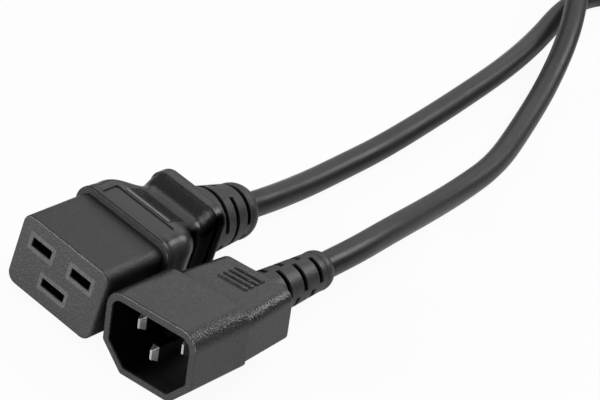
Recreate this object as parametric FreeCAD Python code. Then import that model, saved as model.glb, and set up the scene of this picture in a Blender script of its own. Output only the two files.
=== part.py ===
"""Moulded C19 to C14 power lead: connector, plug, three-core cord and the contacts inside."""
import FreeCAD, Part
import math
import os
from FreeCAD import Placement, Rotation, Vector

# ---------------------------------------------------------------- driving dimensions (mm)
# C19 connector. Its own frame: mating face at y = 0, rear toward +Y, centre of the contact group at x = z = 0.
NOSE_WIDTH = 27.9
NOSE_HEIGHT = 20.1
NOSE_RADIUS = 2.9
NOSE_LENGTH = 20.0
COLLAR_HALF_WIDTH = 15.5
COLLAR_HALF_HEIGHT = 12.0
COLLAR_RADIUS = 5.0
COLLAR_LIP = 1.3
SHOULDER_HALF_WIDTH = 15.2
SHOULDER_HALF_HEIGHT = 11.7
SHOULDER_END_Y = 27.0
WAIST_HALF_WIDTH = 11.0
WAIST_HALF_HEIGHT = 9.1
WAIST_Y = 38.8
FLANGE_HALF = 11.5
FLANGE_RADIUS = 4.6
FLANGE_Y = 43.4
FLANGE_THICKNESS = 3.5
C19_BARREL_DROP = 0.7
C19_BARREL_DROOP_DEG = 7.0
C19_BARREL_PROFILE = [(0.0, 9.55), (7.4, 8.8), (18.8, 7.45)]
C19_BARREL_LENGTH = 24.3
C19_SLOT_ROWS = [(6.3, 90.0, 79.0), (11.5, 0.0, 72.0), (17.2, 90.0, 79.0)]
C19_SLOT_WIDTH = 1.7

# Contact slots of the C19: centre x, centre z, width, height, then the rim around the slot.
C19_SLOTS = {"line": (-6.5, 4.0, 6.4, 2.6, 8.4, 5.0),
             "neutral": (6.5, 4.0, 6.4, 2.6, 8.4, 5.0),
             "earth": (0.0, -4.0, 7.5, 2.4, 9.4, 4.8)}
C19_CARRIER_FRONT = 2.5
C19_CARRIER_REAR = 29.0
C19_CARRIER_HALF_WIDTH = 11.8
C19_CARRIER_HALF_HEIGHT = 7.6

# C14 plug. Its own frame: rim of the shroud at y = 0, rear toward +Y.
SHROUD_HALF_WIDTH = 14.25
SHROUD_TOP = 10.1
SHROUD_BOTTOM = -10.65
SHROUD_WALL = 1.85
SHROUD_LENGTH = 18.9
CAVITY_DEPTH = 16.4
C14_REAR_Y = 37.4
C14_REAR_TOP = 8.0
C14_BARREL_PROFILE = [(0.0, 6.3), (9.5, 5.75), (21.4, 5.1)]
C14_BARREL_LENGTH = 25.3
C14_SLOT_PITCH = 6.2
C14_SLOT_FIRST = (3.6, 6.6)
C14_SLOT_WIDTH = 1.55
C14_BAR_COUNT = 4
C14_BAR_PITCH = 1.95
C14_FIRST_BAR_Y = 27.6
C14_PINS = {"line": (-7.0, 2.0, 4.0), "neutral": (7.0, 2.0, 4.0), "earth": (0.0, -2.0, 1.3)}
PIN_WIDTH = 2.0
PIN_HEIGHT = 4.0
C14_CARRIER_REAR = 31.0
C14_PLACE_X = 29.75
C14_PLACE_Y = 0.6
C14_TURN_DEG = (-2.4, -11.2, 2.6)

# Cord: one jacket over three cores. Heights are those of its centre above the table.
CORD_DIAMETER = 7.0
CORE_DIAMETER = 2.5
CORE_GAP = 0.15
COPPER_DIAMETER = 1.6
CRIMP_DIAMETER = 2.8
CRIMP_LENGTH = 5.0
C19_JACKET_START = 7.0
C14_JACKET_START = 13.0
ON_TABLE = CORD_DIAMETER / 2
ON_TOP = CORD_DIAMETER + 3.5 + ON_TABLE
COIL_CENTRE = Vector(-3.0, 324.2, 0.0)
COIL_RADIUS = 36.0

# The finished lead's frame lies under the middle of the connector, on the table that its collar stands on.
C19_FACE_Y = -35.75
TO_LEAD_FRAME = Vector(0, C19_FACE_Y, COLLAR_HALF_HEIGHT)


# ---------------------------------------------------------------- outlines
def rounded_outline(corners, radii, y):
    """Closed wire in the plane at y through the (x, z) corners, each rounded by its radius."""
    points = [Vector(x, y, z) for x, z in corners]
    arcs = []
    for index, corner in enumerate(points):
        to_last = (points[index - 1] - corner).normalize()
        to_next = (points[(index + 1) % len(points)] - corner).normalize()
        half = to_last.getAngle(to_next) / 2
        reach = radii[index] / math.tan(half)
        middle = corner + (to_last + to_next).normalize() * radii[index] * (1 / math.sin(half) - 1)
        arcs.append((corner + to_last * reach, middle, corner + to_next * reach))
    edges = []
    for index, (start, middle, end) in enumerate(arcs):
        edges.append(Part.Arc(start, middle, end).toShape())
        edges.append(Part.LineSegment(end, arcs[(index + 1) % len(arcs)][0]).toShape())
    return Part.Wire(edges)


def rectangle_outline(half_width, half_height, radius, y, centre=(0.0, 0.0)):
    """Rounded rectangle about a centre (x, z), in the plane at y."""
    corners = [(centre[0] + sx * half_width, centre[1] + sz * half_height)
               for sx, sz in ((-1, -1), (1, -1), (1, 1), (-1, 1))]
    return rounded_outline(corners, [radius] * 4, y)


def prism(wire, length):
    """The wire's face pushed back along +Y."""
    return Part.Face(wire).extrude(Vector(0, length, 0))


def block(half_width, half_height, radius, y_start, y_end, centre=(0.0, 0.0)):
    """Rounded bar along Y."""
    return prism(rectangle_outline(half_width, half_height, radius, y_start, centre), y_end - y_start)


def ease(part_way):
    """Smooth rise from 0 to 1, level at both ends."""
    return part_way * part_way * (3 - 2 * part_way)


# ---------------------------------------------------------------- tubes along a route
def round_route(points):
    """Wire of straight runs joined by tangent arcs, with its length and its arc radii."""
    edges = []
    radii = []
    at = points[0]
    for last, corner, after in zip(points, points[1:], points[2:]):
        back = (last - corner).normalize()
        ahead = (after - corner).normalize()
        half_turn = (math.pi - back.getAngle(ahead)) / 2
        reach = 0.45 * min(last.distanceToPoint(corner), after.distanceToPoint(corner))
        radius = reach / math.tan(half_turn)
        middle = corner + (back + ahead).normalize() * radius * (1 / math.cos(half_turn) - 1)
        start = corner + back * reach
        end = corner + ahead * reach
        edges.append(Part.LineSegment(at, start).toShape())
        edges.append(Part.Arc(start, middle, end).toShape())
        radii.append(radius)
        at = end
    edges.append(Part.LineSegment(at, points[-1]).toShape())
    wire = Part.Wire(edges)
    return wire, wire.Length, radii


def tube(points, diameter):
    """Round solid of one diameter along the rounded route."""
    wire, length, radii = round_route(points)
    heading = points[1] - points[0]
    ring = Part.Wire(Part.makeCircle(diameter / 2, points[0], heading))
    solid = wire.makePipeShell([ring], True, False)
    return solid, length, radii


# ---------------------------------------------------------------- strain reliefs
def relief_radius(profile, along):
    """Radius of a strain relief at a distance behind its root."""
    for (near, near_radius), (far, far_radius) in zip(profile, profile[1:]):
        if along <= far:
            return near_radius + (far_radius - near_radius) * (along - near) / (far - near)
    return profile[-1][1]


def ring_slot(profile, along, width, middle_deg, half_span_deg, floor_radius):
    """Cutter for a slot round part of a strain relief; angles run from +X toward +Z."""
    outer = relief_radius(profile, along) + 1.0
    corners = [Vector(floor_radius, along - width / 2, 0), Vector(outer, along - width / 2, 0),
               Vector(outer, along + width / 2, 0), Vector(floor_radius, along + width / 2, 0)]
    face = Part.Face(Part.makePolygon(corners + corners[:1]))
    face.rotate(Vector(), Vector(0, 1, 0), -(middle_deg + half_span_deg))
    return face.revolve(Vector(), Vector(0, 1, 0), 2 * half_span_deg)


def strain_relief(profile, length, root):
    """Tapered round sleeve along +Y that starts at y = -root and ends in a rounded lip."""
    last_along, last_radius = profile[-1]
    lip_radius = CORD_DIAMETER / 2 + 0.45
    lip_turn = Vector(lip_radius + 0.72 * (last_radius - lip_radius),
                      last_along + 0.72 * (length - last_along), 0)
    outline = [Vector(0, -root, 0), Vector(profile[0][1], -root, 0)]
    outline += [Vector(radius, along, 0) for along, radius in profile]
    lip_end = Vector(lip_radius, length, 0)
    edges = [Part.LineSegment(a, b).toShape() for a, b in zip(outline, outline[1:])]
    edges.append(Part.Arc(outline[-1], lip_turn, lip_end).toShape())
    edges.append(Part.LineSegment(lip_end, Vector(0, length, 0)).toShape())
    edges.append(Part.LineSegment(Vector(0, length, 0), outline[0]).toShape())
    return Part.Face(Part.Wire(edges)).revolve(Vector(), Vector(0, 1, 0), 360)


# ---------------------------------------------------------------- C19 connector
def c19_barrel_place():
    """Placement of the strain relief, which droops a little behind the flange."""
    root = Vector(0, FLANGE_Y + FLANGE_THICKNESS, -C19_BARREL_DROP)
    return Placement(root, Rotation(Vector(1, 0, 0), -C19_BARREL_DROOP_DEG))


def c19_body_section(y):
    """Section of the grip at y: shoulder, then waist, then the flare up to the flange."""
    if y <= WAIST_Y:
        way = ease(max(0.0, (y - SHOULDER_END_Y) / (WAIST_Y - SHOULDER_END_Y)))
        half_width = SHOULDER_HALF_WIDTH + (WAIST_HALF_WIDTH - SHOULDER_HALF_WIDTH) * way
        half_height = SHOULDER_HALF_HEIGHT + (WAIST_HALF_HEIGHT - SHOULDER_HALF_HEIGHT) * way
        return half_width, half_height
    way = ease((y - WAIST_Y) / (FLANGE_Y - WAIST_Y))
    half_width = WAIST_HALF_WIDTH + (FLANGE_HALF - 0.4 - WAIST_HALF_WIDTH) * way
    half_height = WAIST_HALF_HEIGHT + (FLANGE_HALF - 0.4 - WAIST_HALF_HEIGHT) * way
    return half_width, half_height


def c19_grip():
    """Loft from the collar over the waist to the flange."""
    stations = [NOSE_LENGTH + COLLAR_LIP, 24.0, 27.0, 29.5, 32.0, 34.5, 36.8, 38.8, 40.4, 42.0, FLANGE_Y]
    sections = []
    for y in stations:
        half_width, half_height = c19_body_section(y)
        sections.append(rectangle_outline(half_width, half_height, FLANGE_RADIUS, y))
    return Part.makeLoft(sections, True, False)


def c19_label_pocket():
    """Shallow bare field on the top of the grip, just behind the collar."""
    half_width = 9.8
    start = NOSE_LENGTH + COLLAR_LIP + 0.2
    depth = 0.35
    end = 27.3
    corner = Vector(-half_width, start, SHOULDER_HALF_HEIGHT - depth)
    field = Part.makeBox(2 * half_width, end - start, 5, corner)
    upright = [edge for edge in field.Edges if abs(edge.tangentAt(edge.FirstParameter).z) > 0.9]
    return field.makeFillet(0.8, upright)


def c19_thumb_grooves(side):
    """Cutters for the fine grooves across the hollow of the grip, above (side 1) or below (-1)."""
    half_width = 7.3
    pitch = 0.66
    depth = 0.4
    grooves = []
    for index in range(9):
        y = 28.6 + index * pitch
        surface = c19_body_section(y + pitch / 4)[1]
        foot = surface - depth if side > 0 else -(surface + 5)
        grooves.append(Part.makeBox(2 * half_width, pitch / 2, 5 + depth, Vector(-half_width, y, foot)))
    return grooves


def c19_carrier_envelope():
    """Outer shape of the moulded contact carrier, with a boss round each slot."""
    carrier = block(C19_CARRIER_HALF_WIDTH, C19_CARRIER_HALF_HEIGHT, 1.5, C19_CARRIER_FRONT, C19_CARRIER_REAR)
    for x, z, _, _, boss_width, boss_height in C19_SLOTS.values():
        carrier = carrier.fuse(block(boss_width / 2, boss_height / 2, 0.5, 0, C19_CARRIER_FRONT, (x, z)))
    return carrier


def c19_housing(inside):
    """One-piece overmould: nose, collar, waisted grip, flange and slotted strain relief."""
    nose = block(NOSE_WIDTH / 2, NOSE_HEIGHT / 2, NOSE_RADIUS, 0, NOSE_LENGTH + 1)
    rim = [edge for edge in nose.Edges if edge.BoundBox.YMax < 0.001]
    nose = nose.makeFillet(0.5, rim)
    collar = block(COLLAR_HALF_WIDTH, COLLAR_HALF_HEIGHT, COLLAR_RADIUS, NOSE_LENGTH, NOSE_LENGTH + COLLAR_LIP)
    lip = [edge for edge in collar.Edges if edge.BoundBox.YMax < NOSE_LENGTH + 0.001
           or edge.BoundBox.YMin > NOSE_LENGTH + COLLAR_LIP - 0.001]
    collar = collar.makeFillet(0.35, lip)
    flange = block(FLANGE_HALF, FLANGE_HALF, FLANGE_RADIUS, FLANGE_Y, FLANGE_Y + FLANGE_THICKNESS)
    brim = [edge for edge in flange.Edges if edge.BoundBox.YMin > FLANGE_Y + FLANGE_THICKNESS - 0.001]
    flange = flange.makeFillet(0.8, brim)
    barrel = strain_relief(C19_BARREL_PROFILE, C19_BARREL_LENGTH, 1.6)
    for along, middle_deg, half_span_deg in C19_SLOT_ROWS:
        for turn in (0, 180):
            barrel = barrel.cut(ring_slot(C19_BARREL_PROFILE, along, C19_SLOT_WIDTH, middle_deg + turn,
                                          half_span_deg, CORD_DIAMETER / 2 + 1.0))
    barrel.Placement = c19_barrel_place()
    housing = nose.multiFuse([collar, c19_grip(), flange, barrel])
    housing = housing.cut(c19_label_pocket())
    housing = housing.cut(Part.makeCompound(c19_thumb_grooves(1) + c19_thumb_grooves(-1)))
    for piece in inside:
        housing = housing.cut(piece)
    return housing


def c19_contact(name):
    """Folded female contact with its crimp barrel, lying in a chamber of the carrier."""
    x, z, width, height, _, _ = C19_SLOTS[name]
    sheet = 0.4
    half_width = width / 2 + 0.3
    half_height = height / 2 + 0.3
    spring = block(half_width, half_height, 0.7, 4.0, 18.0, (x, z))
    spring = spring.cut(block(half_width - sheet, half_height - sheet, 0.35, 3.0, 19.0, (x, z)))
    fold_gap = Part.makeBox(0.5, 14, 1.2, Vector(x - 0.25, 4.0, z + half_height - 0.8))
    lead_in = Part.makeBox(width - 2, 7.0, sheet, Vector(x - width / 2 + 1, 17.5, z - half_height))
    crimp_start = C19_CARRIER_REAR - CRIMP_LENGTH
    crimp = Part.makeCylinder(CRIMP_DIAMETER / 2, CRIMP_LENGTH, Vector(x, crimp_start, z), Vector(0, 1, 0))
    wire_hole = Part.makeCylinder(COPPER_DIAMETER / 2, CRIMP_LENGTH, Vector(x, crimp_start, z), Vector(0, 1, 0))
    saddle = Part.makeBox(1.2, 1.2, half_height, Vector(x - 0.6, crimp_start, z - half_height))
    return spring.cut(fold_gap).multiFuse([lead_in, crimp, saddle]).cut(wire_hole)


def c19_carrier(envelope):
    """Contact carrier: the envelope opened by a slot and a chamber for each contact."""
    carrier = envelope
    for x, z, width, height, _, _ in C19_SLOTS.values():
        carrier = carrier.cut(block(width / 2, height / 2, 0.25, -0.1, 4.0, (x, z)))
        carrier = carrier.cut(block(width / 2 + 0.3, height / 2 + 0.3, 0.7, 4.0, C19_CARRIER_REAR, (x, z)))
    return carrier


# ---------------------------------------------------------------- C14 plug
def c14_outline(half_width, top, bottom, chamfer_start, top_radius, y, low_radius=1.2):
    """Plug outline with rounded top corners and two sloping lower corners, at y."""
    slope = chamfer_start - bottom
    corners = [(-half_width, top), (-half_width, chamfer_start), (-half_width + slope, bottom),
               (half_width - slope, bottom), (half_width, chamfer_start), (half_width, top)]
    return rounded_outline(corners, [top_radius] + [low_radius] * 4 + [top_radius], y)


def c14_cavity_outline(y):
    """Inner outline of the shroud."""
    return c14_outline(SHROUD_HALF_WIDTH - SHROUD_WALL, SHROUD_TOP - SHROUD_WALL - 0.15,
                       SHROUD_BOTTOM + SHROUD_WALL, -3.5, 2.8, y, 0.8)


def c14_carrier_envelope():
    """Outer shape of the pin carrier: the floor of the shroud and the block behind it."""
    floor = prism(c14_cavity_outline(CAVITY_DEPTH), 1.6)
    body = block(10.2, 6.4, 1.5, CAVITY_DEPTH + 1.0, C14_CARRIER_REAR, (0.0, -0.6))
    return floor.fuse(body)


def c14_pin(name):
    """Solid pin with a bevelled tip and a crimp barrel at its rear."""
    x, z, tip = C14_PINS[name]
    bevel = 0.7
    tip_wire = rectangle_outline(PIN_WIDTH / 2 - bevel, PIN_HEIGHT / 2 - bevel, 0.15, tip, (x, z))
    full_wire = rectangle_outline(PIN_WIDTH / 2, PIN_HEIGHT / 2, 0.25, tip + 1.6, (x, z))
    nose = Part.makeLoft([tip_wire, full_wire], True, True)
    crimp_start = C14_CARRIER_REAR - CRIMP_LENGTH
    shank = block(PIN_WIDTH / 2, PIN_HEIGHT / 2, 0.25, tip + 1.6, crimp_start + 0.5, (x, z))
    crimp = Part.makeCylinder(CRIMP_DIAMETER / 2, CRIMP_LENGTH, Vector(x, crimp_start, z), Vector(0, 1, 0))
    wire_hole = Part.makeCylinder(COPPER_DIAMETER / 2, CRIMP_LENGTH - 1, Vector(x, crimp_start + 1, z),
                                  Vector(0, 1, 0))
    return nose.multiFuse([shank, crimp]).cut(wire_hole)


def c14_carrier(envelope):
    """Pin carrier: the envelope with a close hole for each pin and room for its crimp."""
    carrier = envelope
    for x, z, _ in C14_PINS.values():
        carrier = carrier.cut(block(PIN_WIDTH / 2, PIN_HEIGHT / 2, 0.25, CAVITY_DEPTH - 1,
                                    C14_CARRIER_REAR - CRIMP_LENGTH + 0.5, (x, z)))
        carrier = carrier.cut(Part.makeCylinder(CRIMP_DIAMETER / 2, CRIMP_LENGTH,
                                                Vector(x, C14_CARRIER_REAR - CRIMP_LENGTH, z), Vector(0, 1, 0)))
    return carrier


def c14_grip_bars():
    """Raised bars across the top of the rear body."""
    half_width = 4.5
    height = 0.5
    bars = []
    for index in range(C14_BAR_COUNT):
        y = C14_FIRST_BAR_Y + index * C14_BAR_PITCH
        bar = Part.makeBox(2 * half_width, 1.05, 1.0 + height, Vector(-half_width, y, C14_REAR_TOP - 1.0))
        bars.append(bar.makeChamfer(0.22, [edge for edge in bar.Edges if edge.BoundBox.ZMin > C14_REAR_TOP]))
    return bars


def c14_housing(inside):
    """One-piece overmould: shroud, lower rear body and slotted strain relief."""
    shroud = prism(c14_outline(SHROUD_HALF_WIDTH, SHROUD_TOP, SHROUD_BOTTOM, -4.2, 4.6, 0), SHROUD_LENGTH)
    ends = [edge for edge in shroud.Edges if edge.BoundBox.YMax < 0.001
            or edge.BoundBox.YMin > SHROUD_LENGTH - 0.001]
    shroud = shroud.makeFillet(0.4, ends)
    front = c14_outline(13.7, C14_REAR_TOP, -10.1, -4.0, 3.4, SHROUD_LENGTH - 1)
    rear = c14_outline(11.7, C14_REAR_TOP, -9.6, -4.7, 3.4, C14_REAR_Y)
    body = Part.makeLoft([front, rear], True, True)
    back_edges = [edge for edge in body.Edges if edge.BoundBox.YMin > C14_REAR_Y - 0.001]
    body = body.makeFillet(1.0, back_edges)
    barrel = strain_relief(C14_BARREL_PROFILE, C14_BARREL_LENGTH, 2.0)
    for row in range(3):
        for quarter in range(4):
            along = C14_SLOT_FIRST[(quarter + 1) % 2] + row * C14_SLOT_PITCH
            barrel = barrel.cut(ring_slot(C14_BARREL_PROFILE, along, C14_SLOT_WIDTH, 45 + 90 * quarter, 41,
                                          CORD_DIAMETER / 2 + 0.6))
    barrel.translate(Vector(0, C14_REAR_Y, 0))
    housing = shroud.multiFuse([body, barrel] + c14_grip_bars())
    housing = housing.cut(prism(c14_cavity_outline(-1), CAVITY_DEPTH + 1))
    for piece in inside:
        housing = housing.cut(piece)
    return housing


# ---------------------------------------------------------------- wiring inside the mouldings
def bundle_place(name):
    """Offset (x, z) of a core from the middle of the cord."""
    pitch_radius = (CORE_DIAMETER + CORE_GAP) / math.sqrt(3)
    angle = {"line": 150, "neutral": 30, "earth": 270}[name]
    return pitch_radius * math.cos(math.radians(angle)), pitch_radius * math.sin(math.radians(angle))


def core(name, crimp_end, jacket_place, jacket_y):
    """Insulated core from the crimp at crimp_end to the end of the jacket, and its bare copper."""
    offset_x, offset_z = bundle_place(name)
    arrival = jacket_place.multVec(Vector(offset_x, jacket_y, offset_z))
    before = jacket_place.multVec(Vector(offset_x, jacket_y - 6.5, offset_z))
    leave = crimp_end + Vector(0, 3.0, 0)
    insulation, _, _ = tube([crimp_end, leave, before, arrival], CORE_DIAMETER)
    copper = Part.makeCylinder(COPPER_DIAMETER / 2, CRIMP_LENGTH - 1, crimp_end - Vector(0, CRIMP_LENGTH - 1, 0),
                               Vector(0, 1, 0))
    return insulation, copper


# ---------------------------------------------------------------- cord on the table
def coil_turns():
    """Radius and height of the coil's turns: two side by side, one in the groove on top."""
    step_up = CORD_DIAMETER * math.sin(math.radians(60))
    return [(COIL_RADIUS + CORD_DIAMETER / 2, ON_TABLE),
            (COIL_RADIUS - CORD_DIAMETER / 2, ON_TABLE),
            (COIL_RADIUS, ON_TABLE + step_up)]


def coil_touch(point, radius, side):
    """Where a straight cord from the point touches the coil, on its right (1) or left (-1)."""
    away = Vector(point.x - COIL_CENTRE.x, point.y - COIL_CENTRE.y, 0)
    swing = math.acos(radius / away.Length)
    angle = math.atan2(away.y, away.x) + side * swing
    return COIL_CENTRE + Vector(radius * math.cos(angle), radius * math.sin(angle), 0)


def coil_solid():
    """One closed ring with the outer shape of the coil's three bundled turns."""
    reach = CORD_DIAMETER / 2
    centres = [Vector(radius, 0, height) for radius, height in coil_turns()]
    outer, inner, top = centres
    side = Vector(math.cos(math.radians(30)), 0, math.sin(math.radians(30)))
    mirror = Vector(-side.x, 0, side.z)
    down = Vector(0, 0, -1)
    edges = [Part.LineSegment(inner + down * reach, outer + down * reach).toShape(),
             Part.Arc(outer + down * reach, outer + Vector(0.866, 0, -0.5) * reach,
                      outer + side * reach).toShape(),
             Part.LineSegment(outer + side * reach, top + side * reach).toShape(),
             Part.Arc(top + side * reach, top - down * reach, top + mirror * reach).toShape(),
             Part.LineSegment(top + mirror * reach, inner + mirror * reach).toShape(),
             Part.Arc(inner + mirror * reach, inner + Vector(-0.866, 0, -0.5) * reach,
                      inner + down * reach).toShape()]
    ring = Part.Face(Part.Wire(edges)).revolve(Vector(), Vector(0, 0, 1), 360)
    ring.translate(COIL_CENTRE)
    return ring


def c19_cord_route(barrel):
    """Route from the jacket's end in the C19 strain relief to the coil."""
    route = [barrel.multVec(Vector(0, C19_JACKET_START, 0)), barrel.multVec(Vector(0, C19_BARREL_LENGTH + 5, 0)),
             Vector(-1.7, 64.6, 4.6), Vector(-3.2, 85.1, 3.6), Vector(-4.2, 104.6, ON_TABLE),
             Vector(-6.9, 130.1, ON_TABLE), Vector(-10.2, 156.1, ON_TABLE), Vector(-13.9, 181.6, ON_TABLE),
             Vector(-19.2, 206.6, ON_TABLE), Vector(-26.2, 230.6, ON_TABLE), Vector(-28.4, 249.5, ON_TABLE),
             Vector(-22.0, 267.4, ON_TABLE), Vector(-8.4, 280.7, ON_TABLE)]
    return route + [coil_touch(route[-1], coil_turns()[0][0], 1) + Vector(0, 0, ON_TABLE)]


def c14_cord_route(plug_place):
    """Route from the coil, over the C19's cord, to the jacket's end in the C14 strain relief."""
    start = Vector(-35.9, 266.5, 12.8)
    touch = coil_touch(start, COIL_RADIUS, -1) + Vector(0, 0, coil_turns()[2][1])
    halfway = touch * 0.47 + start * 0.53 + Vector(1.0, 0, 0.3)
    return [touch, halfway, start, Vector(-32.4, 246.8, ON_TOP), Vector(-23.0, 229.1, ON_TOP),
            Vector(-10.2, 207.1, 10.8), Vector(0.0, 183.6, 5.5), Vector(9.2, 157.6, ON_TABLE),
            Vector(17.6, 132.1, 3.6), Vector(21.4, 107.6, 4.9), Vector(25.2, 84.1, 8.4),
            Vector(29.0, 61.1, 12.7),
            plug_place.multVec(Vector(0, C14_REAR_Y + C14_BARREL_LENGTH + 9.0, 0)),
            plug_place.multVec(Vector(0, C14_REAR_Y + C14_JACKET_START, 0))]


# ---------------------------------------------------------------- the lead
def plug_placement(housing):
    """Placement of the plug: leaning toward the connector, its lowest edge on the table."""
    turn, lean, pitch = C14_TURN_DEG
    leaning = Placement(Vector(C14_PLACE_X, C14_PLACE_Y + C19_FACE_Y, 0), Rotation(turn, lean, pitch))
    trial = housing.copy()
    trial.Placement = leaning.multiply(trial.Placement)
    leaning.Base.z = -trial.BoundBox.ZMin
    return leaning


def build_lead():
    """Every piece of the lead by node name, in the lead's frame."""
    nodes = {}
    connector_place = Placement(TO_LEAD_FRAME, Rotation())
    barrel = c19_barrel_place()
    envelope = c19_carrier_envelope()
    cores = {}
    for name, slot in C19_SLOTS.items():
        crimp_end = Vector(slot[0], C19_CARRIER_REAR, slot[1])
        cores[name] = core(name, crimp_end, barrel, C19_JACKET_START)
        nodes[f"c19_{name}_contact"] = c19_contact(name)
        nodes[f"c19_{name}_core"], nodes[f"c19_{name}_copper"] = cores[name]
    nodes["c19_contact_carrier"] = c19_carrier(envelope)
    bore_start = barrel.multVec(Vector(0, C19_JACKET_START, 0))
    bore_heading = barrel.Rotation.multVec(Vector(0, 1, 0))
    bore = Part.makeCylinder(CORD_DIAMETER / 2, 40, bore_start, bore_heading)
    nodes["c19_housing"] = c19_housing([envelope, bore] + [insulation for insulation, _ in cores.values()])
    for name in list(nodes):
        nodes[name].Placement = connector_place.multiply(nodes[name].Placement)

    plug = {}
    envelope = c14_carrier_envelope()
    straight = Placement()
    cores = {}
    for name, (x, z, _) in C14_PINS.items():
        cores[name] = core(name, Vector(x, C14_CARRIER_REAR, z), straight, C14_REAR_Y + C14_JACKET_START)
        plug[f"c14_{name}_pin"] = c14_pin(name)
        plug[f"c14_{name}_core"], plug[f"c14_{name}_copper"] = cores[name]
    plug["c14_pin_carrier"] = c14_carrier(envelope)
    bore = Part.makeCylinder(CORD_DIAMETER / 2, 40, Vector(0, C14_REAR_Y + C14_JACKET_START, 0), Vector(0, 1, 0))
    plug["c14_housing"] = c14_housing([envelope, bore] + [insulation for insulation, _ in cores.values()])
    plug_place = plug_placement(plug["c14_housing"])
    for name, shape in plug.items():
        shape.Placement = plug_place.multiply(shape.Placement)
    nodes.update(plug)

    nodes["cord_coil"] = coil_solid()
    barrel_in_lead = connector_place.multiply(barrel)
    for name, route in (("cord_c19_run", c19_cord_route(barrel_in_lead)),
                        ("cord_c14_run", c14_cord_route(plug_place))):
        solid, length, radii = tube(route, CORD_DIAMETER)
        section = math.pi * CORD_DIAMETER ** 2 / 4
        print(name, "length", round(length, 1), "volume ratio", round(solid.Volume / (section * length), 4),
              "arc radii", [round(radius) for radius in radii])
        nodes[name] = solid
    return nodes


def main():
    """Write one STEP file per piece."""
    os.makedirs("parts", exist_ok=True)
    for name, shape in build_lead().items():
        shape.exportStep(f"parts/{name}.step")
        print(name, shape.isValid(), len(shape.Solids), round(shape.Volume, 1), shape.BoundBox)


main()
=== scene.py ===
"""Looks of a moulded C19 to C14 power lead: finishes, the coiled cord, studio and camera."""

import logging
import math
from dataclasses import dataclass, field
from enum import Enum
from typing import Any

import bmesh
import bpy
from mathutils import Matrix, Vector


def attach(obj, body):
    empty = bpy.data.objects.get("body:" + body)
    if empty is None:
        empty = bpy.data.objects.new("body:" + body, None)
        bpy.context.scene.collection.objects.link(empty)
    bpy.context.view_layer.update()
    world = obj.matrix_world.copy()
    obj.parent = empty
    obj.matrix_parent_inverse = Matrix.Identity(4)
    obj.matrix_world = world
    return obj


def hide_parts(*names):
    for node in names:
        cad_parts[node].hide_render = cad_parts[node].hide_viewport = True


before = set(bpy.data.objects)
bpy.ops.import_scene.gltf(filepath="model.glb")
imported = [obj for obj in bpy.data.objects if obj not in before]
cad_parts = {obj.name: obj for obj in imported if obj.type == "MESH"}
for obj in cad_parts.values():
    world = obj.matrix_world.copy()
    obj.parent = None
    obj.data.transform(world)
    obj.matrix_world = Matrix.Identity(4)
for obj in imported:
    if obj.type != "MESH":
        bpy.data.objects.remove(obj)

BODY = "lead"
MM = 0.001
BLACK = (0.0, 0.0, 0.0)
WHITE = (1.0, 1.0, 1.0, 1.0)
# Distance in mm that lies beyond every piece.
FAR = 90.0
# Colour sockets of the Mix node, by number because its sockets share their names.
MIX_DARK, MIX_LIGHT, MIX_RESULT = 6, 7, 2
LOG = logging.getLogger("power_lead")


# ---------------------------------------------------------------- shader expressions
class Signal:
    """An output socket that can stand in Python arithmetic."""

    def __init__(self, graph: "Graph", socket: bpy.types.NodeSocket) -> None:
        """Wrap a socket.

        Args:
            graph: The graph that the socket belongs to.
            socket: The output socket to wrap.
        """
        self.graph = graph
        self.socket = socket

    def _with(self, operation: str, first: "Value", second: "Value") -> "Signal":
        """Add one Math node.

        Args:
            operation: The Math node's operation.
            first: Left operand.
            second: Right operand.

        Returns:
            The Math node's result.
        """
        return self.graph.node("ShaderNodeMath", {"operation": operation}, {0: first, 1: second})

    def __add__(self, other: "Value") -> "Signal":
        """Sum with a number or another signal."""
        return self._with("ADD", self, other)

    def __radd__(self, other: "Value") -> "Signal":
        """Sum with the number on the left."""
        return self._with("ADD", other, self)

    def __sub__(self, other: "Value") -> "Signal":
        """Difference from a number or another signal."""
        return self._with("SUBTRACT", self, other)

    def __rsub__(self, other: "Value") -> "Signal":
        """Difference with the number on the left."""
        return self._with("SUBTRACT", other, self)

    def __mul__(self, other: "Value") -> "Signal":
        """Product with a number or another signal."""
        return self._with("MULTIPLY", self, other)

    def __rmul__(self, other: "Value") -> "Signal":
        """Product with the number on the left."""
        return self._with("MULTIPLY", other, self)

    def __abs__(self) -> "Signal":
        """Size without its sign."""
        return self._with("ABSOLUTE", self, 0.0)


Value = Signal | float | tuple


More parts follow.
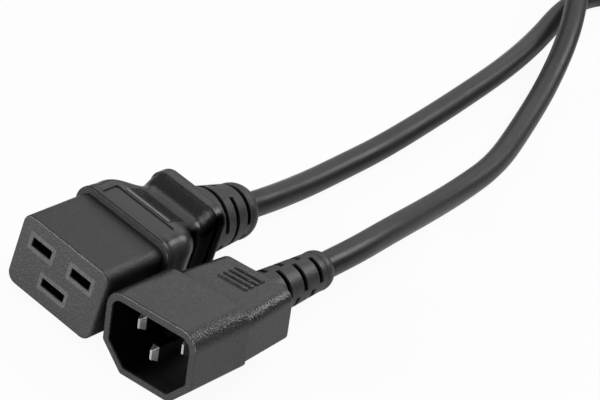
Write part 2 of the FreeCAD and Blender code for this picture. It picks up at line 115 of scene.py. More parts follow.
class Graph:
    """Node tree of one material or of the world."""

    def __init__(self, tree: bpy.types.NodeTree) -> None:
        """Start from an empty tree.

        Args:
            tree: The node tree to fill.
        """
        self.tree = tree
        tree.nodes.clear()

    def node(self, kind: str, settings: dict[str, Any] | None = None,
             inputs: dict[int | str, Value] | None = None, output: int | str = 0) -> Signal:
        """Add any node.

        Args:
            kind: The node's type name.
            settings: Properties of the node.
            inputs: Values or signals for its sockets, by name or number.
            output: The socket to hand back.

        Returns:
            The chosen output as a signal.
        """
        made = self.tree.nodes.new(kind)
        for name, value in (settings or {}).items():
            setattr(made, name, value)
        for name, value in (inputs or {}).items():
            socket = made.inputs[name]
            if isinstance(value, Signal):
                self.tree.links.new(value.socket, socket)
            else:
                socket.default_value = value
        return Signal(self, made.outputs[output])

    def place(self, stretch: tuple[float, float, float] = (1.0, 1.0, 1.0)) -> Signal:
        """Object coordinates.

        Args:
            stretch: Scale along each axis.

        Returns:
            The scaled coordinates.
        """
        where = self.node("ShaderNodeTexCoord", output="Object")
        return self.node("ShaderNodeMapping", {"vector_type": "POINT"},
                         {"Vector": where, "Scale": stretch})

    def noise(self, cell: float, detail: float = 2.0, roughness: float = 0.5,
              stretch: tuple[float, float, float] = (1.0, 1.0, 1.0)) -> Signal:
        """Noise with cells of a real size.

        Args:
            cell: Size of a cell in metres.
            detail: Octaves of finer noise.
            roughness: Weight of the finer octaves.
            stretch: Extra scale along each axis.

        Returns:
            The noise, about 0.5 in the middle.
        """
        return self.node("ShaderNodeTexNoise", {"noise_dimensions": "3D"},
                         {"Vector": self.place(stretch), "Scale": 1.0 / cell, "Detail": detail,
                          "Roughness": roughness}, "Fac")

    def _from_start(self, line: "Line") -> Signal:
        """Way from a line's start to the point."""
        return self.node("ShaderNodeVectorMath", {"operation": "SUBTRACT"},
                         {0: self.place(), 1: line.start})

    def along(self, line: "Line") -> Signal:
        """Distance along a line from its start, in metres."""
        return self.node("ShaderNodeVectorMath", {"operation": "DOT_PRODUCT"},
                         {0: self._from_start(line), 1: line.way}, "Value")

    def off(self, line: "Line") -> Signal:
        """Distance from a line.

        Args:
            line: The line.

        Returns:
            The distance in metres.
        """
        across = self.node("ShaderNodeVectorMath", {"operation": "CROSS_PRODUCT"},
                           {0: self._from_start(line), 1: line.way})
        return self.node("ShaderNodeVectorMath", {"operation": "LENGTH"}, {0: across}, "Value")

    def rise(self, value: Signal, start: float, end: float) -> Signal:
        """Smooth rise of a signal.

        Args:
            value: The signal.
            start: Where the result is 0.
            end: Where the result is 1; it may lie below the start.

        Returns:
            The result, held from 0 to 1.
        """
        return self.node("ShaderNodeMapRange", {"interpolation_type": "SMOOTHSTEP"},
                         {"Value": value, "From Min": start, "From Max": end})

    def tint(self, factor: Signal | float, dark: Value, light: Value) -> Signal:
        """Colour between two colours.

        Args:
            factor: 0 gives the dark colour and 1 the light one.
            dark: Red, green and blue of the dark end.
            light: Red, green and blue of the light end.

        Returns:
            The mixed colour.
        """
        ends = [end if isinstance(end, Signal) else (*end, 1.0) for end in (dark, light)]
        return self.node("ShaderNodeMix", {"data_type": "RGBA", "clamp_factor": True},
                         {"Factor": factor, MIX_DARK: ends[0], MIX_LIGHT: ends[1]}, MIX_RESULT)

    def bump(self, height: Signal, depth: float, strength: float,
             under: Signal | None = None) -> Signal:
        """Normal of a relief.

        Args:
            height: Relief from 0 to 1.
            depth: Real depth of the relief in metres.
            strength: Share of the relief that shows.
            under: Normal that this relief lies on.

        Returns:
            The bent normal.
        """
        inputs: dict[int | str, Value] = {
            "Height": height, "Distance": depth, "Strength": strength}
        if under is not None:
            inputs["Normal"] = under
        return self.node("ShaderNodeBump", inputs=inputs)

    def surface(self, loss: Signal | None = None, **inputs: Value) -> None:
        """End the tree in a Principled shader.

        Args:
            loss: Share of a black shader that gives no light back, mixed in as painted shade.
            **inputs: Socket values by name, with underscores for spaces.
        """
        named = {name.replace("_", " "): value for name, value in inputs.items()}
        shader = self.node("ShaderNodeBsdfPrincipled", inputs=named)
        if loss is not None:
            # A black shader that gives no light back, mixed in as painted shade.
            shade_sheet = self.node("ShaderNodeBsdfPrincipled", inputs={
                "Base Color": (*BLACK, 1.0), "Roughness": 1.0, "Specular IOR Level": 0.0})
            shader = self.node("ShaderNodeMixShader", inputs={0: loss, 1: shader, 2: shade_sheet})
        self.end_in("ShaderNodeOutputMaterial", shader)

    def end_in(self, kind: str, shader: Signal) -> None:
        """Link a shader to an output node.

        Args:
            kind: The output node's type name.
            shader: The shader.
        """
        end = self.tree.nodes.new(kind)
        self.tree.links.new(shader.socket, end.inputs["Surface"])


def new_material(name: str) -> tuple[bpy.types.Material, Graph]:
    """Make an empty node material.

    Args:
        name: The material's name.

    Returns:
        The material and its graph.
    """
    material = bpy.data.materials.new(name)
    material.use_nodes = True
    return material, Graph(material.node_tree)


# ---------------------------------------------------------------- zones of a piece: painted shade, roughness and grain
@dataclass(frozen=True)
class Line:
    """A line in the lead's frame, in metres."""

    start: tuple[float, float, float]
    way: tuple[float, float, float]

    def between(self, start: float, full: float, fading: float, end: float) -> "Stretch":
        """Stretch of the line, with distances in mm.

        Args:
            start: Where the stretch sets in.
            full: Where it is full.
            fading: Where it begins to fade.
            end: Where it is gone.

        Returns:
            The stretch.
        """
        return self, start, full, fading, end

    def beyond(self, start: float, full: float) -> "Stretch":
        """Stretch that sets in at a distance in mm and has no end."""
        return self.between(start, full, FAR, FAR + 1)

    def before(self, fading: float, end: float) -> "Stretch":
        """Stretch that has no start and is gone at a distance in mm."""
        return self.between(-FAR - 1, -FAR, fading, end)


Stretch = tuple[Line, float, float, float, float]


@dataclass(frozen=True)
class Zone:
    """Part of a piece with painted shade, or its own roughness and grain, or both.

    Attributes:
        shade: Share of the colour that is left under painted shade.
        roughness: The skin's roughness there.
        smoothness: Share of the grain that is gone; below 0 the grain is deeper.
        loss: Share of a black shader mixed in as painted shade, which gives no light back.
    """

    shade: float
    roughness: float
    smoothness: float
    loss: float

    def mask(self, graph: Graph) -> Signal:
        """1 in the zone and 0 outside it."""
        raise NotImplementedError

    def shaded(self, graph: Graph, mask: Signal, colour: Signal) -> Signal:
        """Colour with the zone's painted shade.

        Args:
            graph: The material's graph.
            mask: The zone's mask.
            colour: The colour outside the zone.

        Returns:
            The colour.
        """
        return graph.tint((1.0 - self.shade) * mask, colour, BLACK)

    def worn(self, mask: Signal, roughness: Signal) -> Signal:
        """Roughness with the zone's own.

        Args:
            mask: The zone's mask.
            roughness: The roughness outside the zone.

        Returns:
            The roughness.
        """
        return roughness + mask * (self.roughness - roughness)


@dataclass(frozen=True)
class Span(Zone):
    """Everything that lies within a stretch of each of some lines."""

    stretches: tuple[Stretch, ...]

    def mask(self, graph: Graph) -> Signal:
        """Mask of the zone.

        Args:
            graph: The material's graph.

        Returns:
            1 in the zone and 0 outside it.
        """
        held: Value = 1.0
        for line, start, full, fading, end in self.stretches:
            along = graph.along(line)
            held = (graph.rise(along, start * MM, full * MM)
                    * graph.rise(along, end * MM, fading * MM) * held)
        return held


@dataclass(frozen=True)
class Mouth(Zone):
    """Inside of the plug's shroud, whose lower corners are cut off; shade is painted there."""

    across: Line
    inward: Line
    up: Line
    half_width: float = 12.6 * MM
    floor: float = -9.0 * MM
    ceiling: float = 8.3 * MM
    # Half width plus depth below the middle at which the corners are cut off.
    cut: float = 16.1 * MM
    rim: float = 0.2 * MM
    rim_full: float = 0.8 * MM
    depth: float = 17.0 * MM
    fade: float = 0.1 * MM

    def mask(self, graph: Graph) -> Signal:
        """Mask of the zone.

        Args:
            graph: The material's graph.

        Returns:
            1 in the zone and 0 outside it.
        """
        side, height = abs(graph.along(self.across)), graph.along(self.up)
        fade = self.fade
        inner = graph.rise(side, self.half_width, self.half_width - fade)
        inner = graph.rise(height, self.floor, self.floor + fade) * inner
        inner = graph.rise(height, self.ceiling, self.ceiling - fade) * inner
        inner = graph.rise(side - height, self.cut, self.cut - fade) * inner
        depth = graph.along(self.inward)
        return (graph.rise(depth, self.depth + fade, self.depth)
                * graph.rise(depth, self.rim, self.rim_full) * inner)


@dataclass(frozen=True)
class Slots(Zone):
    """Bottoms and walls of the slots in a tapered strain relief, where shade is painted."""

    axis: Line
    radius: float
    taper: float
    length: float
    # Depth under the skin where the zone starts and where it is full.
    below: float = 0.25 * MM
    below_full: float = 1.0 * MM
    run_in: float = 1.0 * MM
    run_out: float = 0.5 * MM

    def mask(self, graph: Graph) -> Signal:
        """Mask of the zone.

        Args:
            graph: The material's graph.

        Returns:
            1 in the zone and 0 outside it.
        """
        along = graph.along(self.axis)
        depth = self.radius - self.taper * along - graph.off(self.axis)
        return (graph.rise(depth, self.below, self.below_full)
                * graph.rise(along, 0.0, self.run_in)
                * graph.rise(along, self.length, self.length - self.run_out))


# ---------------------------------------------------------------- finishes
@dataclass(frozen=True)
class MouldedPvc:
    """Black PVC overmould with the fine grain of a spark-eroded mould."""

    name: str
    # Zones with painted shade, their own roughness or their own grain.
    zones: tuple[Zone, ...] = ()
    dark: tuple[float, float, float] = (0.016, 0.016, 0.0166)
    light: tuple[float, float, float] = (0.036, 0.036, 0.0374)
    roughness: float = 0.38
    grain: float = 0.6 * MM
    grain_depth: float = 0.25 * MM
    contrast: float = 2.2
    octaves: float = 3.0
    dust: tuple[float, float, float] = (0.11, 0.11, 0.11)
    dust_size: float = 0.55 * MM
    dust_level: tuple[float, float] = (0.78, 0.88)
    cloud: float = 14 * MM
    cloud_depth: float = 0.10 * MM
    cloud_share: float = 0.45
    polish: float = 0.07
    cloud_wear: float = 0.08
    grain_wear: float = 0.07

    def build(self) -> bpy.types.Material:
        """Make the material.

        Returns:
            The material.
        """
        material, graph = new_material(self.name)
        grain = graph.noise(self.grain, self.octaves, 0.65)
        cloud = graph.noise(self.cloud)
        speckle = self.contrast * (grain - 0.5) + 0.5
        blend = self.cloud_share * cloud + (1.0 - self.cloud_share) * speckle
        colour = graph.tint(blend, self.dark, self.light)
        specks = graph.rise(graph.noise(self.dust_size, 1.0), *self.dust_level)
        colour = graph.tint(specks, colour, self.dust)
        roughness = (self.roughness - self.polish + self.cloud_wear * cloud
                     + self.grain_wear * grain)
        height: Value = grain
        unshaded: Value = 1.0
        # Zones darken the colour and mix in a black shader as painted shade, and change roughness
        # and grain.
        for zone in self.zones:
            mask = zone.mask(graph)
            unshaded = (1.0 - zone.loss * mask) * unshaded
            colour = zone.shaded(graph, mask, colour)
            roughness = zone.worn(mask, roughness)
            height = height * (1.0 - zone.smoothness * mask)
        relief = graph.bump(height, self.grain_depth, 0.8)
        ripple = graph.bump(cloud, self.cloud_depth, 0.35, relief)
        graph.surface(1.0 - unshaded if self.zones else None, Base_Color=colour, Roughness=roughness,
                      Specular_IOR_Level=0.5, Normal=ripple)
        return material


@dataclass(frozen=True)
class JacketPvc:
    """Smooth extruded PVC of the cord's jacket."""

    name: str = "jacket_pvc"
    dark: tuple[float, float, float] = (0.005, 0.005, 0.0052)
    light: tuple[float, float, float] = (0.012, 0.012, 0.0124)
    roughness: float = 0.36
    sheen: float = 0.26
    sheen_roughness: float = 0.3
    cloud: float = 22 * MM
    wave: float = 5 * MM
    wave_depth: float = 0.16 * MM
    haze: float = 1.1 * MM
    haze_depth: float = 0.02 * MM
    fine: float = 0.22 * MM
    fine_depth: float = 0.008 * MM
    polish: float = 0.10
    cloud_wear: float = 0.24
    haze_wear: float = 0.06

    def build(self) -> bpy.types.Material:
        """Make the material.

        Returns:
            The material.
        """
        material, graph = new_material(self.name)
        cloud = graph.noise(self.cloud)
        haze = graph.noise(self.haze, 3.0, 0.6)
        skin = graph.bump(graph.noise(self.wave), self.wave_depth, 0.5)
        skin = graph.bump(haze, self.haze_depth, 0.6, skin)
        skin = graph.bump(graph.noise(self.fine), self.fine_depth, 0.6, skin)
        roughness = (self.roughness - self.polish + self.cloud_wear * cloud
                     + self.haze_wear * haze)
        graph.surface(Base_Color=graph.tint(cloud, self.dark, self.light), Roughness=roughness,
                      Specular_IOR_Level=0.45, Normal=skin,
                      Sheen_Weight=self.sheen, Sheen_Roughness=self.sheen_roughness)
        return material


@dataclass(frozen=True)
class Metal:
    """Plated or bare metal with fine drawing marks along Y."""

    name: str
    dark: tuple[float, float, float]
    light: tuple[float, float, float]
    roughness: float = 0.24
    # Zones with painted shade and their own roughness.
    zones: tuple[Zone, ...] = ()
    mark: float = 0.35 * MM
    mark_stretch: tuple[float, float, float] = (1.0, 0.06, 1.0)
    mark_depth: float = 0.01 * MM
    stain: float = 2.5 * MM
    polish: float = 0.05
    mark_wear: float = 0.12
    stain_wear: float = 0.06

    def build(self) -> bpy.types.Material:
        """Make the material.

        Returns:
            The material.
        """
        material, graph = new_material(self.name)
        drawn = graph.noise(self.mark, 3.0, 0.6, self.mark_stretch)
        stain = graph.noise(self.stain, 3.0)
        colour = graph.tint(stain, self.dark, self.light)
        roughness = (self.roughness - self.polish + self.mark_wear * drawn
                     + self.stain_wear * stain)
        # Zones darken the colour as painted shade and change roughness.
        for zone in self.zones:
            mask = zone.mask(graph)
            colour = zone.shaded(graph, mask, colour)
            roughness = zone.worn(mask, roughness)
        graph.surface(Base_Color=colour, Metallic=1.0, Roughness=roughness,
                      Normal=graph.bump(drawn, self.mark_depth, 0.5))
        return material


@dataclass(frozen=True)
class CoreInsulation:
    """Coloured insulation of one core."""

    name: str
    dark: tuple[float, float, float]
    light: tuple[float, float, float]
    roughness: float = 0.34
    cloud: float = 3 * MM
    cloud_depth: float = 0.03 * MM
    cloud_wear: float = 0.1

    def build(self) -> bpy.types.Material:
        """Make the material.

        Returns:
            The material.
        """
        material, graph = new_material(self.name)
        cloud = graph.noise(self.cloud)
        graph.surface(Base_Color=graph.tint(cloud, self.dark, self.light),
                      Roughness=self.roughness + self.cloud_wear * cloud,
                      Normal=graph.bump(cloud, self.cloud_depth, 0.4))
        return material


class Conductor(Enum):
    """The three conductors, with their insulation colours."""

    LINE = ("line", (0.13, 0.05, 0.02), (0.20, 0.08, 0.035))
    NEUTRAL = ("neutral", (0.02, 0.09, 0.32), (0.035, 0.14, 0.42))
    EARTH = ("earth", (0.16, 0.42, 0.05), (0.55, 0.60, 0.06))

    @property
    def key(self) -> str:
        """Word used in node names."""
        return self.value[0]

    def finish(self) -> CoreInsulation:
        """Insulation of this conductor."""
        return CoreInsulation(f"{self.key}_insulation", self.value[1], self.value[2])


def dress(node: str, material: bpy.types.Material) -> None:
    """Give a carried-over node its finish.

    Args:
        node: The node's name.
        material: The finish.
    """
    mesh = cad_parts[node].data
    mesh.materials.clear()
    mesh.materials.append(material)


# ---------------------------------------------------------------- connectors
# Lines that the zones are measured along: the C19's from its face and its middle, the plug's from
# the middle of its face as it lies, and one through each strain relief from where that starts.
INWARD = Line((0.0, -35.75 * MM, 0.0), (0.0, 1.0, 0.0))
RIGHTWARD = Line((0.0, 0.0, 0.0), (1.0, 0.0, 0.0))
PLUG_FACE = (29.75 * MM, -35.15 * MM, 11.93 * MM)
PLUG_RIGHT = Line(PLUG_FACE, (0.98009, -0.04108, 0.19423))
PLUG_INWARD = Line(PLUG_FACE, (0.03303, 0.99846, 0.0445))
PLUG_UP = Line(PLUG_FACE, (-0.19576, -0.0372, 0.97995))
C19_RELIEF = Line((0.0, 11.15 * MM, 11.3 * MM), (0.0, 0.99255, -0.12187))
PLUG_BODY = 37.4 * MM
PLUG_RELIEF = Line(tuple(Vector(PLUG_FACE) + PLUG_BODY * Vector(PLUG_INWARD.way)), PLUG_INWARD.way)
# Distance in mm from the C19's face to the rear of its collar.
COLLAR_REAR = 20.0


@dataclass
class C19Connector:
    """The C19 connector: its overmould, contact block and folded contacts."""

    # Glossier, finer-grained grip from the collar to the flange, darkened with painted shade.
    grip: Span = Span(shade=0.62, roughness=0.27, smoothness=0.6, loss=0.0, stretches=(
        INWARD.between(COLLAR_REAR, 20.1, 45.0, 46.5),))
    # More painted shade on top of the label field, short of its right side.
    label_field_shade: Span = Span(shade=0.7, roughness=0.27, smoothness=0.6, loss=0.0, stretches=(
        INWARD.between(COLLAR_REAR, 20.1, 28.5, 31.5), RIGHTWARD.before(12.0, 14.0)))
    shoulder_side: Span = Span(shade=1.0, roughness=0.46, smoothness=0.0, loss=0.0, stretches=(
        INWARD.between(20.1, 20.4, 26.5, 29.0), RIGHTWARD.beyond(12.0, 14.0)))
    # Painted shade where the nose meets the collar's front, with the sheen taken away.
    collar_contact_shade: Span = Span(shade=0.3, roughness=0.6, smoothness=0.0, loss=0.3, stretches=(
        INWARD.between(18.3, 19.9, 19.95, 20.05),))
    # Painted shade down the nose's right side, next to the plug.
    nose_side_shade: Span = Span(shade=0.4, roughness=0.38, smoothness=0.0, loss=0.35, stretches=(
        INWARD.between(0.3, 2.0, 19.9, COLLAR_REAR), RIGHTWARD.beyond(13.2, 13.9)))
    # Near-black painted shade in the grip's hollow on the plug's side.
    side_hollow_shade: Span = Span(shade=0.03, roughness=0.2, smoothness=0.9, loss=0.92, stretches=(
        INWARD.between(30.0, 33.0, 45.0, 46.4), RIGHTWARD.beyond(8.5, 11.0)))
    # Painted shade in the strain relief's slots.
    relief_slot_shade: Slots = Slots(shade=0.05, roughness=0.6, smoothness=0.5, loss=0.9,
                                axis=C19_RELIEF, radius=9.6 * MM, taper=0.113, length=23.8 * MM)
    # Painted shade on the contact block behind its face, in the contact slots.
    block_slot_shade: Span = Span(shade=0.05, roughness=0.5, smoothness=0.5, loss=0.8, stretches=(
        INWARD.beyond(0.3, 0.6),))
    brass: Metal = Metal("contact_brass", dark=(0.55, 0.40, 0.18), light=(0.72, 0.56, 0.30))

    def housing(self) -> MouldedPvc:
        """Finish of the overmould, with painted shade in its zones."""
        return MouldedPvc("c19_overmould_pvc", (
            self.grip, self.label_field_shade, self.shoulder_side, self.collar_contact_shade, self.nose_side_shade,
            self.side_hollow_shade, self.relief_slot_shade))

    def block(self) -> MouldedPvc:
        """Finish of the contact block, paler and more speckled than the overmould."""
        return MouldedPvc("c19_block_plastic", (self.block_slot_shade,), dark=(0.030, 0.030, 0.0305),
                          light=(0.090, 0.090, 0.092), roughness=0.42, grain=0.5 * MM,
                          grain_depth=0.12 * MM, contrast=3.2)

    def dress(self) -> None:
        """Give every node of the connector its finish."""
        dress("c19_housing", self.housing().build())
        dress("c19_contact_carrier", self.block().build())
        brass = self.brass.build()
        for conductor in Conductor:
            dress(f"c19_{conductor.key}_contact", brass)
        LOG.info("c19 connector dressed")


@dataclass
class C14Plug:
    """The C14 plug: its overmould, pin block and nickel-plated pins."""

    bright_edge: Span = Span(shade=1.0, roughness=0.23, smoothness=-0.7, loss=0.0, stretches=(
        PLUG_RIGHT.beyond(10.0, 12.5), PLUG_UP.beyond(6.0, 8.5)))
    relief: Span = Span(shade=1.0, roughness=0.42, smoothness=0.5, loss=0.0, stretches=(
        PLUG_INWARD.beyond(37.0, 38.0),))
    # Painted shade inside the shroud.
    mouth_shade: Mouth = Mouth(shade=0.5, roughness=0.3, smoothness=0.0, loss=0.2,
                         across=PLUG_RIGHT, inward=PLUG_INWARD, up=PLUG_UP)
    # Darker painted shade on the left half of the shroud's inside.
    mouth_left_shade: Span = Span(shade=0.2, roughness=0.5, smoothness=0.5, loss=0.8, stretches=(
        PLUG_RIGHT.between(-12.7, -12.6, -7.0, 3.0), PLUG_UP.between(-9.1, -9.0, 8.2, 8.3),
        PLUG_INWARD.between(0.3, 0.8, 17.0, 17.1)))
    # Painted shade in the strain relief's slots.
    relief_slot_shade: Slots = Slots(shade=0.05, roughness=0.6, smoothness=0.5, loss=0.9,
                                axis=PLUG_RELIEF, radius=6.3 * MM, taper=0.056, length=24.8 * MM)
    # Polished pin shanks, darkened with painted shade deeper in the shroud.
    pin_shank_polish_and_shade: Span = Span(shade=0.45, roughness=0.12, smoothness=0.0, loss=0.0, stretches=(
        PLUG_INWARD.beyond(5.5, 5.8),))
    # The earth pin stands further out, so its shank starts nearer to the plug's face; it gets the
    # same polish and painted shade.
    earth_shank_polish_and_shade: Span = Span(shade=0.45, roughness=0.12, smoothness=0.0, loss=0.0, stretches=(
        PLUG_INWARD.between(2.8, 3.1, 5.5, 5.8), PLUG_RIGHT.between(-4.0, -3.0, 3.0, 4.0)))

    def housing(self) -> MouldedPvc:
        """Finish of the overmould, with a plainer grain than the connector's."""
        # Its zones paint shade inside the shroud and in the relief's slots.
        return MouldedPvc("c14_overmould_pvc", (
            self.bright_edge, self.relief, self.mouth_shade, self.mouth_left_shade, self.relief_slot_shade),
            dark=(0.013, 0.013, 0.0135), light=(0.038, 0.038, 0.0394), roughness=0.25,
            grain=0.44 * MM, grain_depth=0.15 * MM, octaves=1.0)

    def block(self) -> MouldedPvc:
        """Finish of the pin block, near black as painted shade at the back of the shroud."""
        return MouldedPvc("c14_block_plastic", dark=(0.002, 0.002, 0.002),
                          light=(0.005, 0.005, 0.0052), roughness=0.25, grain=0.35 * MM,
                          grain_depth=0.008 * MM)

    def nickel(self) -> Metal:
        """Finish of the pins: bright tips, polished shanks darkened with painted shade."""
        return Metal("pin_nickel", dark=(0.62, 0.62, 0.63), light=(0.80, 0.80, 0.81),
                     roughness=0.3, zones=(self.pin_shank_polish_and_shade, self.earth_shank_polish_and_shade))

    def dress(self) -> None:
        """Give every node of the plug its finish."""
        dress("c14_housing", self.housing().build())
        dress("c14_pin_carrier", self.block().build())
        nickel = self.nickel().build()
        for conductor in Conductor:
            dress(f"c14_{conductor.key}_pin", nickel)
        LOG.info("c14 plug dressed")

    def nodes(self) -> list[bpy.types.Object]:
        """Objects of the plug."""
        return [obj for name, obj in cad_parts.items() if name.startswith("c14_")]


@dataclass
class ThumbRidge:
    """Raised line across the top of the C19's grip, in front of its thumb grooves."""

    left: float = -7.5 * MM
    right: float = 6.9 * MM
    front: float = -7.65 * MM
    width: float = 0.5 * MM
    foot: float = 23.3 * MM
    top: float = 23.95 * MM
    rounding: float = 0.12 * MM
    # Its pale colour is a painted highlight along the ridge.
    finish: MouldedPvc = MouldedPvc("thumb_ridge_highlight_pvc", dark=(0.10, 0.10, 0.103),
                                    light=(0.16, 0.16, 0.163), roughness=0.3)

    def build(self) -> bpy.types.Object:
        """Make the ridge, which stands on the overmould.

        Returns:
            The ridge's object.
        """
        mesh = bpy.data.meshes.new("c19_thumb_ridge")
        shape = bmesh.new()
        bmesh.ops.create_cube(shape, size=1.0)
        size = Vector((self.right - self.left, self.width, self.top - self.foot))
        middle = Vector((self.right + self.left, 2 * self.front + self.width,
                         self.top + self.foot)) / 2
        placing = Matrix.Translation(middle) @ Matrix.Diagonal((*size, 1.0))
        bmesh.ops.transform(shape, matrix=placing, verts=shape.verts)
        bmesh.ops.bevel(shape, geom=shape.edges[:], offset=self.rounding, segments=3,
                        profile=0.5, affect="EDGES")
        shape.to_mesh(mesh)
        shape.free()
        mesh.materials.append(self.finish.build())
        ridge = bpy.data.objects.new("c19_thumb_ridge", mesh)
        bpy.context.scene.collection.objects.link(ridge)
        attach(ridge, BODY)
        LOG.info("thumb ridge made")
        return ridge


@dataclass
class Wiring:
    """Cores and bare copper inside the two mouldings."""

    copper: Metal = Metal("bare_copper", dark=(0.60, 0.28, 0.15), light=(0.75, 0.38, 0.22),
                          roughness=0.3)

    def dress(self) -> None:
        """Give every core and wire end its finish."""
        copper = self.copper.build()
        for conductor in Conductor:
            insulation = conductor.finish().build()
            for end in ("c14", "c19"):
                dress(f"{end}_{conductor.key}_core", insulation)
                dress(f"{end}_{conductor.key}_copper", copper)
        LOG.info("wiring dressed")


# ---------------------------------------------------------------- cord
def ease(share: float) -> float:
    """Smooth rise from 0 to 1, held at both ends."""
    held = min(1.0, max(0.0, share))
    return held * held * (3 - 2 * held)


@dataclass
class Coil:
    """The put-away middle of the cord: two turns side by side and one on top."""

    diameter: float
    centre: Vector = field(default_factory=lambda: Vector((-3.0, 324.2, 0.0)) * MM)
    radius: float = 36.0 * MM
    steps_per_turn: int = 24
    full_turns: int = 2
    # Turns since the entry, then offset from the mean radius and height, both in diameters.
    stages: tuple[tuple[float, float, float], ...] = (
        (0.0, 0.5, 0.5), (0.86, 0.5, 0.5), (0.99, -0.5, 0.5), (1.76, -0.5, 0.5), (1.87, -0.5, 1.5),
        (1.93, 0.0, 1.55), (2.0, 0.0, 1.55), (2.08, 0.0, 1.37), (3.0, 0.0, 1.37))

    def touch(self, point: Vector, offset: float, side: int) -> float:
        """Angle at which a straight cord meets the coil.

        Args:
            point: Where the straight cord comes from.
            offset: The turn's offset from the mean radius, in diameters.
            side: 1 to meet it on the right as seen from the point, -1 on the left.

        Returns:
            The angle about the coil's centre.
        """
        away = point - self.centre
        away.z = 0
        reach = self.radius + offset * self.diameter
        return math.atan2(away.y, away.x) + side * math.acos(reach / away.length)

    def at(self, angle: float, turn: float, swell: float = 1.0) -> Vector:
        """Point of the coil's line.

        Args:
            angle: Angle about the centre.
            turn: Turns since the entry.
            swell: Factor on the radius, as control points stand outside their curve.

        Returns:
            The point.
        """
        stages = zip(self.stages, self.stages[1:])
        for (start, offset, level), (end, next_offset, next_level) in stages:
            if turn <= end:
                way = ease((turn - start) / (end - start))
                offset += (next_offset - offset) * way
                level += (next_level - level) * way
                break
        reach = (self.radius + offset * self.diameter) * swell
        return self.centre + Vector((reach * math.cos(angle), reach * math.sin(angle),
                                     level * self.diameter))

    def points(self, start: float, end: float) -> list[Vector]:
        """Control points of all turns, from the entry angle to the exit angle.

        Args:
            start: Angle of the entry.
            end: Angle of the exit.

        Returns:
            The control points, at even angles.
        """
        swing = self.full_turns * math.tau + (end - start) % math.tau
        count = round(swing / math.tau * self.steps_per_turn)
        step = swing / count
        # A curve of order 3 is nearest to a control point where it holds 6/8 of it and 1/8 of
        # each neighbour.
        swell = 8 / (6 + 2 * math.cos(step))
        middle = [self.at(start + index * step, index * step / math.tau, swell)
                  for index in range(1, count)]
        return [self.at(start, 0.0)] + middle + [self.at(end, swing / math.tau)]


@dataclass
class Cord:
    """The lead's one cord, from the C19 strain relief through the coil to the C14 strain relief."""

    diameter: float = 7.0 * MM
    length: float = 1.21
    exit: Vector = field(default_factory=lambda: Vector((0.0, 35.3, 8.3)) * MM)
    finish: JacketPvc = JacketPvc()
    # Heights of the route in mm, on the table and where it crosses the other run.
    on_table: float = 3.5
    on_top: float = 14.0
    round_steps: int = 7
    curve_steps: int = 10

    def connector_side(self) -> list[Vector]:
        """Route from inside the C19 strain relief to the coil.

        Returns:
            Its control points.
        """
        table = self.on_table
        route = [(0.0, 18.1, 10.4), (0.0, 40.2, 7.7), (-1.7, 64.6, 4.6), (-3.2, 85.1, 3.6),
                 (-4.2, 104.6, table), (-6.9, 130.1, table), (-10.2, 156.1, table),
                 (-13.9, 181.6, table), (-19.2, 206.6, table), (-26.2, 230.6, table),
                 (-28.4, 249.5, table), (-22.0, 267.4, table), (-8.4, 280.7, table)]
        return [Vector(point) * MM for point in route]

    def plug_side(self) -> list[Vector]:
        """Route from the coil over the connector's side to inside the C14 strain relief.

        Returns:
            Its control points.
        """
        route = [(-36.3, 292.7, 11.6), (-35.9, 266.5, 12.8), (-32.4, 246.8, self.on_top),
                 (-23.0, 229.1, self.on_top), (-10.2, 207.1, 10.8), (0.0, 183.6, 5.5),
                 (9.2, 157.6, self.on_table), (17.6, 132.1, 3.6), (21.4, 107.6, 4.9),
                 (25.2, 84.1, 8.4), (29.0, 61.1, 12.7), (32.1, 36.4, 15.1), (31.4, 15.2, 14.2)]
        return [Vector(point) * MM for point in route]

    def build(self, plug: C14Plug) -> bpy.types.Object:
        """Args:
            plug: The plug on the cord's far end; not used.

        Returns:
            The cord's object.
        """
        coil = Coil(self.diameter)
        coming = self.connector_side()
        going = self.plug_side()
        entry = coil.touch(coming[-1], coil.stages[0][1], 1)
        # The plug's side starts on the way out of the coil, so its second point counts here.
        leaving = coil.touch(going[1], coil.stages[-1][1], -1)
        points = coming + coil.points(entry, leaving) + going
        curve = bpy.data.curves.new("cord", "CURVE")
        curve.dimensions = "3D"
        curve.bevel_depth = self.diameter / 2
        curve.bevel_resolution = self.round_steps
        curve.resolution_u = self.curve_steps
        curve.use_fill_caps = True
        spline = curve.splines.new("NURBS")
        spline.points.add(len(points) - 1)
        for control, point in zip(spline.points, points):
            control.co = (*point, 1.0)
        spline.order_u = 3
        spline.use_endpoint_u = True
        cord = bpy.data.objects.new("cord", curve)
        bpy.context.scene.collection.objects.link(cord)
        curve.materials.append(self.finish.build())
        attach(cord, BODY)
        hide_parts("cord_c19_run", "cord_coil", "cord_c14_run")
        LOG.info("cord made with %d control points", len(points))
        return cord


# ---------------------------------------------------------------- studio
@dataclass
class SoftLamp:
    """One square soft box aimed at the lead."""

    name: str
    place: tuple[float, float, float]
    size: float
    watts: float
    aim: tuple[float, float, float] = (0.01, 0.02, 0.0)

    def build(self) -> None:
        """Make the lamp."""
        data = bpy.data.lights.new(self.name, "AREA")
        data.shape = "SQUARE"
        data.size = self.size
        data.energy = self.watts
        lamp = bpy.data.objects.new(self.name, data)
        lamp.location = self.place
        way = Vector(self.aim) - Vector(self.place)
        lamp.rotation_euler = way.to_track_quat("-Z", "Y").to_euler()
        bpy.context.scene.collection.objects.link(lamp)


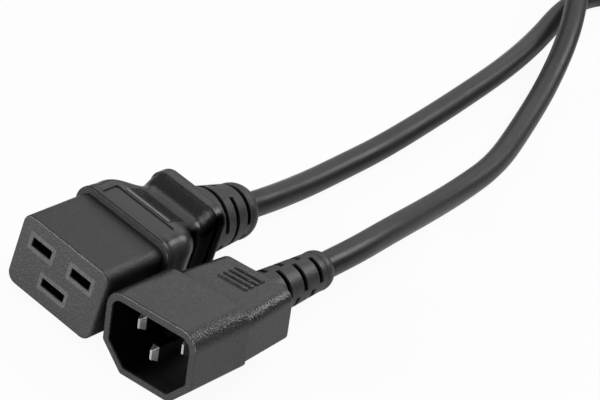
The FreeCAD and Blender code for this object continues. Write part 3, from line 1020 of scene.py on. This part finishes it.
@dataclass
class Camera:
    """Camera of the main view, given by where it looks and from which side."""

    target: tuple[float, float, float] = (0.0303, 0.0069, 0.0417)
    distance: float = 0.600
    azimuth: float = 28.33
    elevation: float = 32.01
    roll: float = 21.0
    lens: float = 152.2
    sensor: float = 36.0
    nearest: float = 0.01
    farthest: float = 20.0

    def build(self) -> None:
        """Make the camera and set it as the scene's own."""
        turn, rise = math.radians(self.azimuth), math.radians(self.elevation)
        back = Vector((math.sin(turn) * math.cos(rise), -math.cos(turn) * math.cos(rise),
                       math.sin(rise)))
        data = bpy.data.cameras.new("main_view")
        data.lens = self.lens
        data.sensor_width = self.sensor
        data.sensor_fit = "HORIZONTAL"
        data.clip_start = self.nearest
        data.clip_end = self.farthest
        camera = bpy.data.objects.new("main_view", data)
        upright = (-back).to_track_quat("-Z", "Y").to_matrix().to_4x4()
        place = Matrix.Translation(Vector(self.target) + back * self.distance)
        camera.matrix_world = place @ upright @ Matrix.Rotation(math.radians(self.roll), 4, "Z")
        bpy.context.scene.collection.objects.link(camera)
        bpy.context.scene.camera = camera


@dataclass
class Studio:
    """White table and plain soft light."""

    floor_half: float = 3.0
    floor_colour: tuple[float, float, float] = (0.86, 0.86, 0.86)
    floor_roughness: float = 0.6
    # Share of plain white in the floor as the camera sees it; the rest keeps the shadow.
    glow: float = 0.93
    # Share of its light that the floor loses in reflections.
    mirrored_loss: float = 0.2
    # The room's strength as it lights the lead and as it is reflected; the camera sees 1.
    ambient: float = 0.1
    mirrored: float = 0.1
    lamps: tuple[SoftLamp, ...] = (
        SoftLamp("front_lamp", (-0.42, -0.95, 0.24), size=0.5, watts=13.0),
        SoftLamp("back_lamp", (-0.55, 0.95, 0.75), size=1.0, watts=3.2),
        SoftLamp("edge_lamp", (0.20, 0.75, 0.58), size=0.35, watts=2.7),
        SoftLamp("side_lamp", (0.85, -0.60, 0.12), size=0.3, watts=5.0),
        SoftLamp("top_lamp", (0.30, -0.05, 1.0), size=0.6, watts=3.6))

    def build(self) -> None:
        """Make the floor, the lamps and the world."""
        self._floor()
        self._world()
        for lamp in self.lamps:
            lamp.build()
        LOG.info("studio lit by %d lamps", len(self.lamps))

    def _floor(self) -> None:
        """Make the table, which shows white but keeps the lead's shadow."""
        bpy.ops.mesh.primitive_plane_add(size=2 * self.floor_half, location=(0, 0, 0))
        floor = bpy.context.active_object
        floor.name = "table"
        material, graph = new_material("table_white")
        matt = graph.node("ShaderNodeBsdfPrincipled", inputs={
            "Base Color": (*self.floor_colour, 1.0), "Roughness": self.floor_roughness})
        seen = graph.node("ShaderNodeLightPath", output="Is Camera Ray")
        mirrored = graph.node("ShaderNodeLightPath", output="Is Glossy Ray")
        share = self.glow * seen + self.mirrored_loss * mirrored
        white = graph.node("ShaderNodeEmission", inputs={"Color": WHITE, "Strength": seen})
        shader = graph.node("ShaderNodeMixShader", inputs={0: share, 1: matt, 2: white})
        graph.end_in("ShaderNodeOutputMaterial", shader)
        floor.data.materials.append(material)

    def _world(self) -> None:
        """Give the room a plain white wall all round."""
        world = bpy.data.worlds.new("white_room")
        world.use_nodes = True
        bpy.context.scene.world = world
        graph = Graph(world.node_tree)
        seen = graph.node("ShaderNodeLightPath", output="Is Camera Ray")
        mirrored = graph.node("ShaderNodeLightPath", output="Is Glossy Ray")
        strength = (self.ambient + (1.0 - self.ambient) * seen
                    + (self.mirrored - self.ambient) * mirrored)
        shader = graph.node("ShaderNodeBackground", inputs={"Color": WHITE, "Strength": strength})
        graph.end_in("ShaderNodeOutputWorld", shader)


def main() -> None:
    """Build the camera, the cord, the finishes, the thumb ridge and the studio."""
    logging.basicConfig(level=logging.INFO, format="%(name)s: %(message)s")
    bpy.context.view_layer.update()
    bpy.context.scene.view_settings.view_transform = "Standard"
    Camera().build()
    plug = C14Plug()
    Cord().build(plug)
    C19Connector().dress()
    ThumbRidge().build()
    plug.dress()
    Wiring().dress()
    Studio().build()
    bpy.context.view_layer.update()


if __name__ == "__main__":
    main()
